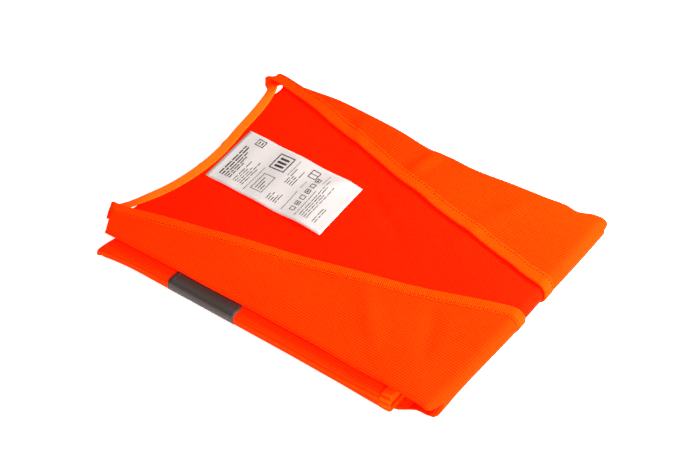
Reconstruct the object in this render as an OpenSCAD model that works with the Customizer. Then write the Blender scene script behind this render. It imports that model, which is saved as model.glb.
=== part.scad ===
// High visibility vest, folded for storage.
//
// The garment lies with its front up. Both sides are folded behind it, which leaves a strip as wide as
// the neck, and the strip is folded in three: the upper third with the neck lies on top, the middle third
// lies on the table with its front down, and the hem third is tucked between them with its front up.
//
// +Y points along the garment to its neck, +Z is up and +X is the wearer's left. The origin is the middle
// of the packet's footprint, on the table. All sizes are millimetres.

/* [Packet] */
// Width of the two lower thirds, over the tape on their side folds
pack_w = 188; // [160:1:220]
// How far the upper third's side folds lie inside the lower ones
upper_inset = 4; // [2:0.5:10]
// Length of the middle third, between the centres of its two folds
third_l = 235; // [200:0.5:290]
// How far the hem stops short of the main fold's centre
hem_short = 21.5; // [12:0.5:60]
// How far a side flap's edge stays from the opposite side fold
flap_clear = 12; // [8:1:40]

/* [Cloth] */
// Thickness of one layer of knitted cloth
cloth_t = 0.35; // [0.3:0.01:0.6]
// Air between two layers that lie on each other
layer_gap = 0.2; // [0.15:0.05:0.4]
// Thickness of one leg of the binding
trim_t = 0.35; // [0.3:0.01:0.5]
// Width of the binding, from its fold to its stitched edge
bind_w = 9; // [6:0.1:14]
// How far the binding stands out past the edge that it holds
bind_nose = 1; // [0.6:0.1:2]
// How far the front edges of the upper third stand off the back
front_lift = 1.2; // [1.2:0.1:3]

/* [Neck and front] */
// Width of shoulder that shows beside the neck on the right, up to the side fold
right_shoulder = 24; // [10:1:40]
// Width of shoulder that shows beside the neck on the left, where the fold is nearer to the neck
left_shoulder = 4; // [4:1:40]
// Depth of the back neckline
neck_depth = 22; // [10:1:40]
// How far the neck points reach past the centre of the hem fold
neck_rise = 21.5; // [12:0.5:40]
// How far the shoulder falls from the neck point to the side fold
shoulder_fall = 12; // [4:1:20]
// Half of the gap between the two front edges at the main fold
front_gap = 10; // [6:0.5:30]
// Sideways bow of both front edges, halfway up the neck opening
front_bow = 5; // [0:0.5:10]

/* [Armholes and seams] */
// Width of the side flap at the shoulder, from side fold to armhole
shoulder_flap_w = 106; // [80:1:115]
// Slope of the shoulder seam behind the side folds, in degrees
shoulder_slope = 18; // [10:1:24]
// Depth of the curve of the armhole
armhole_depth = 14; // [6:1:24]
// Width of the bound edge of the armholes
arm_bind_w = 7; // [5:0.5:10]
// Thickness of the stitched side and shoulder seams
seam_t = 0.6; // [0.4:0.05:0.8]

/* [Reflective tape] */
// Width of the reflective tape
tape_w = 50; // [50:1:70]
// Thickness of the tape
tape_t = 0.25; // [0.2:0.01:0.35]
// From the hem fold's centre to the lower tape, on the hem third
lower_tape_drop = 47; // [30:1:80]
// From the hem fold's centre to the upper tape, on the middle third
upper_tape_drop = 26; // [20:1:60]
// How far the tape runs onto the side flaps behind the side folds
tape_return = 60; // [20:1:100]

/* [Closure and label] */
// Width of the hook and loop patches
patch_w = 22; // [16:1:30]
// Length of the hook and loop patches
patch_l = 40; // [25:1:60]
// Thickness of the patches
patch_t = 0.35; // [0.3:0.01:0.45]
// From the patches to the front bindings, where they are sewn on
patch_inset = 4; // [2:0.5:10]
// From the patches to the upper tape
patch_drop = 20; // [5:1:30]
// Width of the care label
label_w = 48; // [35:1:60]
// Length of the care label, from its sewn edge to its free end
label_l = 91; // [60:1:110]
// Thickness of the care label
label_t = 0.25; // [0.2:0.01:0.3]
// Sideways place of the label's middle, from the middle of the neck
label_shift = 1.5; // [-10:0.5:10]

/* [Hidden] */
$fn = 64;
CURVE_STEPS = 16; // straight pieces in a curved edge
FOLD_ROOM = 0.5; // from the main fold's centre to the panels on either side of it
LABEL_GAP = 0.05; // under the label
SWING_GAP = 0.1; // between the neck binding and the label when it is turned back over it
SEWN_ROOM = 1; // from the label's hinge axis to its free part
RIGHT = -1;
LEFT = 1;

ORANGE = "orangered";
TRIM = "darkorange";
SILVER = "dimgray";
FELT = "orange";

// Heights of the layers of a third that lies front up, from its own bottom. A flap is the part of the
// garment behind a side fold. The right flap is folded in last, so it lies lowest.
tape_room = tape_t + layer_gap;
pressed_t = layer_gap / 2; // a leg of the hem's binding, pressed between two layers
right_flap_front = tape_t;
right_flap_back = right_flap_front + cloth_t + layer_gap;
left_flap_front = right_flap_back + cloth_t + tape_room;
left_flap_back = left_flap_front + cloth_t + layer_gap;
back_sheet = left_flap_back + cloth_t + tape_room;
front_sheet = back_sheet + cloth_t + pressed_t + max(trim_t, patch_t);
third_h = front_sheet + cloth_t + max(trim_t, patch_t, tape_t);
front_sheet_upper = back_sheet + cloth_t + front_lift;

// Bottoms of the thirds. The middle third lies front down, so its heights are turned over.
hem_z = third_h + layer_gap;
upper_z = 2 * (third_h + layer_gap);
function turned(z) = third_h - z - cloth_t;
function front_flap(side) = side == RIGHT ? right_flap_front : left_flap_front;
function back_flap(side) = side == RIGHT ? right_flap_back : left_flap_back;

// A fold is half of a tube between two layers: its outer radius, and the height of its centre.
function fold_r(low, high) = (high + cloth_t - low) / 2;
function fold_z(low, high) = (high + cloth_t + low) / 2;
main_fold_r = fold_r(turned(front_sheet), upper_z + front_sheet_upper);
main_fold_z = fold_z(turned(front_sheet), upper_z + front_sheet_upper);

// Places along the packet, with the whole footprint centred on the origin.
footprint_l = main_fold_r + trim_t + third_l + neck_rise;
fold_y = main_fold_r + trim_t - footprint_l / 2;
start_y = fold_y + FOLD_ROOM;
hem_fold_y = fold_y + third_l;
hem_y = fold_y + hem_short;
neck_y = hem_fold_y + neck_rise;
shoulder_y = neck_y - shoulder_fall;
lower_tape_y = hem_fold_y - lower_tape_drop - tape_w;
upper_tape_y = hem_fold_y - upper_tape_drop - tape_w;
patch_y = upper_tape_y - patch_drop - patch_l;

// Places across the packet. The folds don't quite halve the garment, so its middle line isn't at 0.
lower_side = pack_w / 2 - tape_t;
upper_side = lower_side - upper_inset;
right_neck_x = right_shoulder - upper_side;
left_neck_x = upper_side - left_shoulder;
middle_x = (left_neck_x + right_neck_x) / 2;
neck_half = (left_neck_x - right_neck_x) / 2;
flap_end = lower_side - flap_clear;

// Where the flat part of a front ends and its side fold begins, on each side. The back's side fold lies
// inside the front's and begins at the same place.
function lower_turn_x(side) = lower_side - fold_r(front_flap(side), front_sheet);
function upper_turn_x(side) = upper_side - fold_r(front_flap(side), front_sheet_upper);

// The front edges run from the main fold to the neck points, at a share of the way up.
function front_edge(share, side) =
    middle_x + side * (front_gap + (neck_half - front_gap) * share) - front_bow * 4 * share * (1 - share);
function front_curve(side, inset) = [
    for (i = [0:CURVE_STEPS])
        let (share = i / CURVE_STEPS)
            [front_edge(share, side) + side * inset, start_y + (neck_y - start_y) * share]
];
function reversed(points) = [for (i = [len(points) - 1:-1:0]) points[i]];
function straight_edge(side, inset) = middle_x + side * (front_gap + inset);

// The back neckline is one arc between the neck points.
neck_arc_r = (neck_half * neck_half + neck_depth * neck_depth) / (2 * neck_depth);
neck_arc_y = neck_y - neck_depth + neck_arc_r;

// The care label is caught under the neck's binding. Its hinge axis is the sewn edge, high enough for the
// label to lie on the binding when it is turned back.
label_y = neck_y - neck_depth - bind_w;
label_z = upper_z + back_sheet + cloth_t + LABEL_GAP;
neck_binding_top = upper_z + back_sheet + cloth_t + trim_t;
label_axis_z = (neck_binding_top + SWING_GAP + label_z + label_t) / 2;

// --------------------------------------------------------------------------------- shared shapes

// A flat piece, from its outline and the height of its underside.
module sheet(z, t = cloth_t) {
    translate([0, 0, z]) linear_extrude(t) children();
}

// A rectangle between two corners.
module patch(x0, y0, x1, y1) {
    translate([min(x0, x1), min(y0, y1)]) square([abs(x1 - x0), abs(y1 - y0)]);
}

// Half of a ring, on the side of its centre that toward names.
module half_ring(r, t, toward) {
    intersection() {
        difference() {
            circle(r);
            circle(r - t);
        }
        translate([toward > 0 ? 0 : -r, -r]) square([r, 2 * r]);
    }
}

// Where a panel turns round a side fold: half of a tube along Y. It can be grown to lie round that panel.
module side_turn(side, x, low, high, y0, y1, t = cloth_t, grown = 0) {
    translate([side * x, y1, fold_z(low, high)])
        rotate([90, 0, 0]) linear_extrude(y1 - y0) half_ring(fold_r(low, high) + grown, t, side);
}

// Where a panel turns round a cross fold: half of a tube along X.
module cross_turn(x0, x1, y, low, high, toward, t = cloth_t, grown = 0) {
    translate([min(x0, x1), y, fold_z(low, high)])
        rotate([90, 0, 90]) linear_extrude(abs(x1 - x0)) half_ring(fold_r(low, high) + grown, t, toward);
}

// ------------------------------------------------------------------- panels of the two lower thirds

// Heights of a lower third's layers, lowest first: flap and sheet if it is front up, sheet and flap if
// it is front down.
function layers(flap, main, front_up) =
    front_up ? [hem_z + flap, hem_z + main] : [turned(main), turned(flap)];
function front_layers(side, front_up) = layers(front_flap(side), front_sheet, front_up);
function back_layers(side, front_up) = layers(back_flap(side), back_sheet, front_up);

// A panel with its side fold and its flap. The sheet reaches to x_end and the flap to the flaps' end. It
// is grown for a binding, which lies on both of its faces.
module folded_panel(side, z, front_up, x_end, y0, y1, grown = 0) {
    x = side * lower_turn_x(side);
    main = front_up ? z[1] : z[0];
    flap = front_up ? z[0] : z[1];
    sheet(main - grown, cloth_t + 2 * grown) patch(x, y0, x_end, y1);
    sheet(flap - grown, cloth_t + 2 * grown) patch(x, y0, -side * flap_end, y1);
    side_turn(side, lower_turn_x(side), z[0], z[1], y0, y1, cloth_t + 2 * grown, grown);
}

module lower_front(side, front_up, y0) {
    color(ORANGE)
        folded_panel(side, front_layers(side, front_up), front_up,
            straight_edge(side, bind_nose), y0, hem_fold_y);
}

module both_back_sides(front_up, y0, y1, grown = 0) {
    for (side = [RIGHT, LEFT])
        folded_panel(side, back_layers(side, front_up), front_up, middle_x, y0, y1, grown);
}

module lower_back(front_up, y0) {
    color(ORANGE) both_back_sides(front_up, y0, hem_fold_y);
}

// Reflective tape on a front: on its sheet, round its side fold and onto its flap.
module front_tape(side, front_up, y) {
    z = front_layers(side, front_up);
    x = side * lower_turn_x(side);
    sheet_z = front_up ? z[1] + cloth_t : z[0] - tape_t;
    flap_z = front_up ? z[0] - tape_t : z[1] + cloth_t;
    color(SILVER) {
        sheet(sheet_z, tape_t) patch(x, y, straight_edge(side, bind_w), y + tape_w);
        sheet(flap_z, tape_t) patch(x, y, x - side * tape_return, y + tape_w);
        side_turn(side, lower_turn_x(side), z[0], z[1], y, y + tape_w, tape_t, tape_t);
    }
}

// Reflective tape across the outer face of the back.
module back_tape(front_up, y) {
    z = front_up ? hem_z + back_sheet - tape_t : turned(back_sheet) + cloth_t;
    color(SILVER) sheet(z, tape_t) patch(-lower_turn_x(RIGHT), y, lower_turn_x(LEFT), y + tape_w);
}

// The seam that joins front and back along the outer edges of a flap.
module side_seam(side, front_up, y0) {
    low = front_up ? front_layers(side, true)[0] : back_layers(side, false)[1];
    high = front_up ? back_layers(side, true)[0] : front_layers(side, false)[1];
    color(ORANGE) sheet(low, high + cloth_t - low)
        patch(-side * flap_end, y0, -side * (flap_end + seam_t), hem_fold_y);
}

// The binding along a straight front edge, a U that holds the cloth's edge.
module straight_binding(side, z, y0) {
    color(TRIM) difference() {
        sheet(z - trim_t, cloth_t + 2 * trim_t)
            patch(straight_edge(side, 0), y0, straight_edge(side, bind_w), hem_fold_y);
        sheet(z)
            patch(straight_edge(side, bind_nose), y0 - 1, straight_edge(side, bind_w + 1), hem_fold_y + 1);
    }
}

// The hem's binding on a front, and on the back, which goes round the side folds with the cloth.
module front_hem_binding(side) {
    z = front_layers(side, true);
    end = straight_edge(side, bind_nose);
    color(TRIM) difference() {
        folded_panel(side, z, true, end, hem_y - bind_nose, hem_y + bind_w - bind_nose, pressed_t);
        folded_panel(side, z, true, end, hem_y, hem_y + bind_w);
    }
}
module back_hem_binding() {
    color(TRIM) difference() {
        both_back_sides(true, hem_y - bind_nose, hem_y + bind_w - bind_nose, pressed_t);
        both_back_sides(true, hem_y, hem_y + bind_w);
    }
}

// The hook patch is sewn inside the right front, and the loop patch outside the left one.
module hook_patch() {
    color(FELT) sheet(turned(front_sheet) + cloth_t, patch_t)
        patch(straight_edge(RIGHT, bind_w + patch_inset), patch_y,
            straight_edge(RIGHT, bind_w + patch_inset + patch_w), patch_y + patch_l);
}
module loop_patch() {
    color(FELT) sheet(turned(front_sheet) - patch_t, patch_t)
        patch(straight_edge(LEFT, bind_w + patch_inset), patch_y,
            straight_edge(LEFT, bind_w + patch_inset + patch_w), patch_y + patch_l);
}

// ---------------------------------------------------------------------- panels of the upper third

shoulder_end = upper_side - shoulder_flap_w; // where the shoulder seam meets the armhole
shoulder_end_y = shoulder_y - shoulder_flap_w * tan(shoulder_slope);

// The armhole's edge on a flap, this far short of the bound edge, from the main fold to the shoulder seam.
function armhole(side, short) = [
    for (i = [0:CURVE_STEPS])
        let (share = i / CURVE_STEPS, dip = armhole_depth * 4 * share * (1 - share))
        let (bend = share * share * (3 - 2 * share))
            [side * (short + dip - flap_end + (shoulder_end + flap_end) * bend),
             start_y + (shoulder_end_y - start_y) * share]
];

// Outline of a flap of the upper third, from its side fold to the armhole's bound edge.
module flap_outline(side, x) {
    polygon(concat([[side * x, shoulder_y], [side * x, start_y]], armhole(side, 0)));
}

// Everything that lies this far inside the armhole's bound edge.
module inside_armhole(side, short) {
    far = side * (upper_side + 1);
    polygon(concat(
        [[far, shoulder_y + 1], [far, start_y - 1], [side * (short - flap_end), start_y - 1]],
        armhole(side, short), [[side * (shoulder_end + short), shoulder_y + 1]]));
}

module upper_flap(side) {
    intersection() {
        flap_outline(side, upper_turn_x(side));
        inside_armhole(side, arm_bind_w);
    }
}

// Outline of a front of the upper third, beside the neck opening.
module upper_front_outline(side) {
    x = side * upper_turn_x(side);
    polygon(concat([[x, shoulder_y], [x, start_y]], front_curve(side, bind_nose)));
}

// Outline of the back of the upper third, with its neckline this far inside the binding's edge.
module upper_back_outline(inset) {
    difference() {
        polygon([
            [-upper_turn_x(RIGHT), start_y], [upper_turn_x(LEFT), start_y],
            [upper_turn_x(LEFT), shoulder_y], [left_neck_x, neck_y],
            [right_neck_x, neck_y], [-upper_turn_x(RIGHT), shoulder_y]
        ]);
        translate([middle_x, neck_arc_y]) circle(neck_arc_r + inset, $fn = 180);
    }
}

module upper_front(side) {
    color(ORANGE) {
        sheet(upper_z + front_sheet_upper) upper_front_outline(side);
        sheet(upper_z + front_flap(side)) upper_flap(side);
        side_turn(side, upper_turn_x(side), upper_z + front_flap(side), upper_z + front_sheet_upper,
            start_y, shoulder_y);
    }
}

module upper_back() {
    color(ORANGE) {
        sheet(upper_z + back_sheet) upper_back_outline(bind_nose);
        for (side = [RIGHT, LEFT]) {
            sheet(upper_z + back_flap(side)) upper_flap(side);
            side_turn(side, upper_turn_x(side), upper_z + back_flap(side), upper_z + back_sheet,
                start_y, shoulder_y);
        }
    }
}

// The binding along a front edge of the neck opening.
module upper_front_binding(side) {
    z = upper_z + front_sheet_upper;
    color(TRIM) difference() {
        sheet(z - trim_t, cloth_t + 2 * trim_t)
            polygon(concat(front_curve(side, 0), reversed(front_curve(side, bind_w))));
        sheet(z) polygon(concat(front_curve(side, bind_nose), reversed(front_curve(side, bind_w + 1))));
    }
}

// The binding round the back neckline. Its lower leg is pressed between the layers.
module neck_band(inner, outer) {
    intersection() {
        translate([middle_x, neck_arc_y]) difference() {
            circle(neck_arc_r + outer, $fn = 180);
            circle(neck_arc_r + inner, $fn = 180);
        }
        upper_back_outline(0);
    }
}
module back_neck_binding() {
    z = upper_z + back_sheet;
    color(TRIM) difference() {
        sheet(z - pressed_t, cloth_t + pressed_t + trim_t) neck_band(0, bind_w);
        sheet(z) neck_band(bind_nose, bind_w + 1);
    }
}

// The bound edges of an armhole, on the front's flap and on the back's, pressed flush with the cloth.
module armhole_binding(side) {
    color(TRIM) for (z = [front_flap(side), back_flap(side)])
        sheet(upper_z + z) difference() {
            flap_outline(side, upper_turn_x(side));
            inside_armhole(side, arm_bind_w);
        }
}

// The shoulder seam closes the upper third's end. Behind the side fold it lies over the edges of the two
// flaps, and beside the neck, where enough of the shoulder shows, it lies between the two sheets.
module seam_strip(from, to) {
    polygon([from, to, to + [0, seam_t], from + [0, seam_t]]);
}
module shoulder_seam(side) {
    neck_x = side == RIGHT ? right_neck_x : left_neck_x;
    fold = [side * upper_turn_x(side), shoulder_y];
    shown = side * (fold.x - neck_x);
    beside_binding = [neck_x, neck_y] + (fold - [neck_x, neck_y]) * (bind_w + SEWN_ROOM) / shown;
    color(ORANGE) {
        if (shown > bind_w + SEWN_ROOM)
            sheet(upper_z + back_sheet + cloth_t, front_lift)
                seam_strip(beside_binding - [0, seam_t], fold - [0, seam_t]);
        sheet(upper_z + front_flap(side), back_flap(side) + cloth_t - front_flap(side))
            seam_strip(fold, [side * shoulder_end, shoulder_end_y]);
    }
}

module care_label() {
    color("whitesmoke") sheet(label_z, label_t)
        translate([middle_x + label_shift - label_w / 2, label_y - label_l])
            square([label_w, label_l - SEWN_ROOM]);
}

// ------------------------------------------------------------------------------------ cross folds

// The folds between the middle third and its neighbour, which is the upper third at the main fold and
// the hem third at the hem fold. Bottom is that neighbour's own bottom. A fold has the sheet's turn and
// the flap's turn inside it, and nothing at the side folds, where the real cloth crumples.
module front_fold(side, x, y, toward, bottom, front_height) {
    color(ORANGE) {
        cross_turn(side * x, straight_edge(side, bind_nose), y,
            turned(front_sheet), bottom + front_height, toward);
        cross_turn(side * x, -side * flap_end, y,
            turned(front_flap(side)), bottom + front_flap(side), toward);
    }
}
module back_fold(x_right, x_left, y, toward, bottom) {
    color(ORANGE) {
        cross_turn(-x_right, x_left, y, turned(back_sheet), bottom + back_sheet, toward);
        cross_turn(-x_right, flap_end, y, turned(back_flap(RIGHT)), bottom + back_flap(RIGHT), toward);
        cross_turn(x_left, -flap_end, y, turned(back_flap(LEFT)), bottom + back_flap(LEFT), toward);
    }
}
module binding_fold(side, y, toward, bottom, front_height) {
    low = turned(front_sheet);
    high = bottom + front_height;
    color(TRIM) difference() {
        cross_turn(straight_edge(side, 0), straight_edge(side, bind_w), y, low, high, toward,
            cloth_t + 2 * trim_t, trim_t);
        cross_turn(straight_edge(side, bind_nose), straight_edge(side, bind_w + 1), y, low, high, toward);
    }
}
module main_front_fold(side) {
    front_fold(side, upper_turn_x(side), start_y, -1, upper_z, front_sheet_upper);
}
module hem_front_fold(side) {
    front_fold(side, lower_turn_x(side), hem_fold_y, 1, hem_z, front_sheet);
}

// ------------------------------------------------------------------------------------------ nodes

upper_front(RIGHT);  // right_front_upper
upper_front(LEFT);  // left_front_upper
upper_back();  // back_upper
back_neck_binding();
upper_front_binding(RIGHT);  // right_front_binding_upper
upper_front_binding(LEFT);  // left_front_binding_upper
armhole_binding(RIGHT);  // right_armhole_binding
armhole_binding(LEFT);  // left_armhole_binding
shoulder_seam(RIGHT);  // right_shoulder_seam
shoulder_seam(LEFT);  // left_shoulder_seam
care_label();

lower_front(RIGHT, false, start_y);  // right_front_middle
lower_front(LEFT, false, start_y);  // left_front_middle
lower_back(false, start_y);  // back_middle
straight_binding(RIGHT, turned(front_sheet), start_y);  // right_front_binding_middle
straight_binding(LEFT, turned(front_sheet), start_y);  // left_front_binding_middle
front_tape(RIGHT, false, upper_tape_y);  // upper_tape_right_front
front_tape(LEFT, false, upper_tape_y);  // upper_tape_left_front
back_tape(false, upper_tape_y);  // upper_tape_back
hook_patch();
loop_patch();
side_seam(RIGHT, false, start_y);  // right_side_seam_middle
side_seam(LEFT, false, start_y);  // left_side_seam_middle

lower_front(RIGHT, true, hem_y);  // right_front_hem
lower_front(LEFT, true, hem_y);  // left_front_hem
lower_back(true, hem_y);  // back_hem
straight_binding(RIGHT, hem_z + front_sheet, hem_y + bind_w);  // right_front_binding_hem
straight_binding(LEFT, hem_z + front_sheet, hem_y + bind_w);  // left_front_binding_hem
front_tape(RIGHT, true, lower_tape_y);  // lower_tape_right_front
front_tape(LEFT, true, lower_tape_y);  // lower_tape_left_front
back_tape(true, lower_tape_y);  // lower_tape_back
front_hem_binding(RIGHT);  // hem_binding_right_front
front_hem_binding(LEFT);  // hem_binding_left_front
back_hem_binding();  // hem_binding_back
side_seam(RIGHT, true, hem_y);  // right_side_seam_hem
side_seam(LEFT, true, hem_y);  // left_side_seam_hem

main_front_fold(RIGHT);  // main_fold_right_front
main_front_fold(LEFT);  // main_fold_left_front
back_fold(upper_turn_x(RIGHT), upper_turn_x(LEFT), start_y, -1, upper_z);  // main_fold_back
binding_fold(RIGHT, start_y, -1, upper_z, front_sheet_upper);  // main_fold_right_binding
binding_fold(LEFT, start_y, -1, upper_z, front_sheet_upper);  // main_fold_left_binding
hem_front_fold(RIGHT);  // hem_fold_right_front
hem_front_fold(LEFT);  // hem_fold_left_front
back_fold(lower_turn_x(RIGHT), lower_turn_x(LEFT), hem_fold_y, 1, hem_z);  // hem_fold_back
binding_fold(RIGHT, hem_fold_y, 1, hem_z, front_sheet);  // hem_fold_right_binding
binding_fold(LEFT, hem_fold_y, 1, hem_z, front_sheet);  // hem_fold_left_binding
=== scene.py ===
# %% [markdown]
# A folded high visibility vest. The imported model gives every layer's place and the joints that the vest
# opens at. This lesson replaces its plain plates by real cloth: each panel is laid out flat, in the
# garment's own coordinates, and then folded by a formula, so the knit's ribs, the bindings and the tapes
# all follow the cloth round the folds as they do on the real vest.

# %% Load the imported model
import math

import bpy
import numpy as np
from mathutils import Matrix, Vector


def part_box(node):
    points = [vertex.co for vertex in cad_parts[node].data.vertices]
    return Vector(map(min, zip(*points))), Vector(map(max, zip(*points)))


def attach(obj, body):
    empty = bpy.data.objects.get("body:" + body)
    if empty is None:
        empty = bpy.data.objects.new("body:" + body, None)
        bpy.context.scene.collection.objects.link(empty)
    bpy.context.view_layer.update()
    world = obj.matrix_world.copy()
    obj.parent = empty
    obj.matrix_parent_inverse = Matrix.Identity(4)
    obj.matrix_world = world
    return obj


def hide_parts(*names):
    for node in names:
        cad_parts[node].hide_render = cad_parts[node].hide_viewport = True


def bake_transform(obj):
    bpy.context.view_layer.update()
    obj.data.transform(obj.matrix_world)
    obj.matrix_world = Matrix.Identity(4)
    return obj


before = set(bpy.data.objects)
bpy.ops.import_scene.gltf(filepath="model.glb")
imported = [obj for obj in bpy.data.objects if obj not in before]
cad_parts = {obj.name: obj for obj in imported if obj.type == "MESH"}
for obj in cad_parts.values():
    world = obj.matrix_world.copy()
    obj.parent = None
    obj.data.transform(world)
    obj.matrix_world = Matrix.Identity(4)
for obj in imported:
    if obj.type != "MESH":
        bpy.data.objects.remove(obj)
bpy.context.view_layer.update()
MM = 0.001

# %% [markdown]
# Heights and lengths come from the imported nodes' boxes, apart from a few thicknesses and gaps that are
# named here. A third of the packet is a stack of layers:
# the front panel's sheet is outermost, the back's lies inside it, and the side flaps lie inside that. A
# layer's depth is counted inwards from the front's sheet, which works for a third that lies front up and
# for one that lies front down.

# %% Read sizes from the model's boxes
CLOTH = 0.35  # thickness of the knit, in mm
TRIM = 0.35  # thickness of one leg of the binding
RIGHT, LEFT = -1, 1


def low(part, axis):
    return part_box(part)[0]["xyz".index(axis)] / MM


def high(part, axis):
    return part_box(part)[1]["xyz".index(axis)] / MM


def middle(part, axis):
    return (low(part, axis) + high(part, axis)) / 2


print("the back hem starts at", round(low("back_hem", "y"), 1), "mm")

# %% [markdown]
# These are the heights of the front's sheet, the back's sheet and the side flaps on each third, and the
# places and radii of the two folds that join the thirds.

# %% Heights of the layers
front_z = {third: middle(f"right_front_binding_{third}", "z") for third in ("upper", "middle", "hem")}
back_z = {
    "upper": low("back_neck_binding", "z") + 0.1 + CLOTH / 2,
    "middle": low("upper_tape_back", "z") - CLOTH / 2,
    "hem": high("lower_tape_back", "z") + CLOTH / 2,
}
flap_z = {
    ("upper", RIGHT): low("right_front_upper", "z") + CLOTH / 2,
    ("upper", LEFT): low("left_front_upper", "z") + CLOTH / 2,
    ("middle", RIGHT): high("right_front_middle", "z") - CLOTH / 2,
    ("middle", LEFT): high("left_front_middle", "z") - CLOTH / 2,
    ("hem", RIGHT): low("right_front_hem", "z") + CLOTH / 2,
    ("hem", LEFT): low("left_front_hem", "z") + CLOTH / 2,
}
FLAP_PITCH = 0.55  # from the front's flap to the back's flap, which lies inside it
start_y, neck_y = low("right_front_upper", "y"), high("right_front_binding_upper", "y")
shoulder_y = neck_y - 12
turn_y, hem_y = high("right_front_middle", "y"), low("right_front_hem", "y")
side_x = {"upper": high("left_front_upper", "x"), "lower": high("left_front_middle", "x")}
middle_x = (low("left_front_binding_middle", "x") + high("right_front_binding_middle", "x")) / 2
main_r = (front_z["upper"] - front_z["middle"]) / 2
main_z = (front_z["upper"] + front_z["middle"]) / 2
turn_r = (front_z["hem"] - front_z["middle"]) / 2
turn_z = (front_z["hem"] + front_z["middle"]) / 2
middle_len = turn_y - start_y
stack_z = high("right_front_binding_upper", "z")
print("layers", {k: round(v, 2) for k, v in front_z.items()})
print("fold radii", round(main_r, 2), round(turn_r, 2))

# %% [markdown]
# Real cloth never lies as square as the model does. One function moves every point of the folded packet:
# it skews the sides, lets the tucked-in third puff up at the near side, and adds low waves. The same smooth
# function moves all layers, and it is kept gentle enough in height for them to stay in order.
# First come the two helpers that it is built from, and the places where the packet's edges stray.

# %% Edges that stray
def smooth(x, start, end):
    t = np.clip((x - start) / (end - start), 0, 1)
    return t * t * (3 - 2 * t)


def curve(x, points):
    """A smooth curve through a few (x, value) points, kept flat past both ends."""
    xs, ys = np.array(points, float).T
    slopes = np.gradient(ys, xs)
    x = np.clip(x, xs[0], xs[-1])
    i = np.clip(np.searchsorted(xs, x) - 1, 0, len(xs) - 2)
    h = xs[i + 1] - xs[i]
    t = (x - xs[i]) / h
    return (
        (2 * t**3 - 3 * t**2 + 1) * ys[i] + (t**3 - 2 * t**2 + t) * h * slopes[i]
        + (3 * t**2 - 2 * t**3) * ys[i + 1] + (t**3 - t**2) * h * slopes[i + 1]
    )


# Sideways moves of the side folds, in mm, along the packet: (y, move) from the main fold to the neck.
NEAR_UPPER = [
    (start_y - 8, -4.8), (start_y + 20, -2.4), (start_y + 60, -0.2), (0, 2.4), (70, 3.2), (neck_y, 4.2),
]
FAR_UPPER = [
    (start_y - 9, 8.5), (start_y + 3, 9.5), (start_y + 13, 5.6), (start_y + 22, 6.6), (start_y + 34, 5.2),
    (start_y + 55, 4.0), (start_y + 90, 1.2), (start_y + 104, 2.4), (start_y + 116, 1.6), (20, 4.0),
    (60, 5.6), (neck_y, 3.5),
]
NEAR_LOWER = [
    (start_y - 8, -1.0), (start_y + 30, -1.6), (0, 0.6), (70, 1.6), (turn_y - 14, 0.6), (turn_y + 4, -2.0),
]
# How far the main fold's edge lies short of its straight line: (x, move along the packet).
FOLD_SHORT = [(-96, 7.0), (-76, 6.2), (-50, 5.0), (-10, 2.6), (24, 1.8), (60, 0.2), (96, -0.5)]
print("stray edges", len(NEAR_UPPER), len(FAR_UPPER), len(NEAR_LOWER), "points")

# %% [markdown]
# A packed vest keeps faint creases. Each one is a soft ridge or groove along a short line, added to the
# height of the upper layers. They could be sculpted by hand, but a short list is easier to change.

# %% Creases
CREASE_HEIGHT = 2.2  # all creases are this much taller than the list says
# Start and end of each line, its half width and its height, in mm.
CREASES = [
    ((-8, 8), (34, -22), 4.0, 0.55), ((44, 18), (10, -38), 4.5, -0.5), ((6, 46), (52, 4), 6.0, 0.5),
    ((-84, 10), (-44, -66), 6.0, 0.7), ((-62, 30), (-36, -30), 4.5, -0.45),
    ((-30, -34), (-74, -74), 5.0, 0.5), ((-20, -80), (-64, -104), 5.0, -0.5), ((90, -12), (62, -6), 4.0, 1.0),
    ((60, 96), (84, 40), 6.0, -0.4), ((-50, 96), (-20, 70), 5.0, 0.4),
    ((30, -60), (84, -84), 6.0, 0.45), ((52, 30), (88, 50), 5.0, 0.35),
]


def creased(x, y):
    """Height of the creases: each is a soft ridge along a line, fading out at both of its ends."""
    height = 0 * (x + y)
    for (x0, y0), (x1, y1), wide, tall in CREASES:
        long = math.hypot(x1 - x0, y1 - y0)
        along = ((x - x0) * (x1 - x0) + (y - y0) * (y1 - y0)) / long
        off = ((x - x0) * (y1 - y0) - (y - y0) * (x1 - x0)) / long
        fade = smooth(along, -wide, long * 0.3) * (1 - smooth(along, long * 0.7, long + wide))
        height = height + tall * fade * np.exp(-(off / wide) ** 2)
    return height * CREASE_HEIGHT


print("creases", len(CREASES))

# %% [markdown]
# This is the function that every piece goes through. Each term is one thing that the packet does, faded in
# and out by smooth steps, so no term leaves an edge in the cloth.

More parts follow.
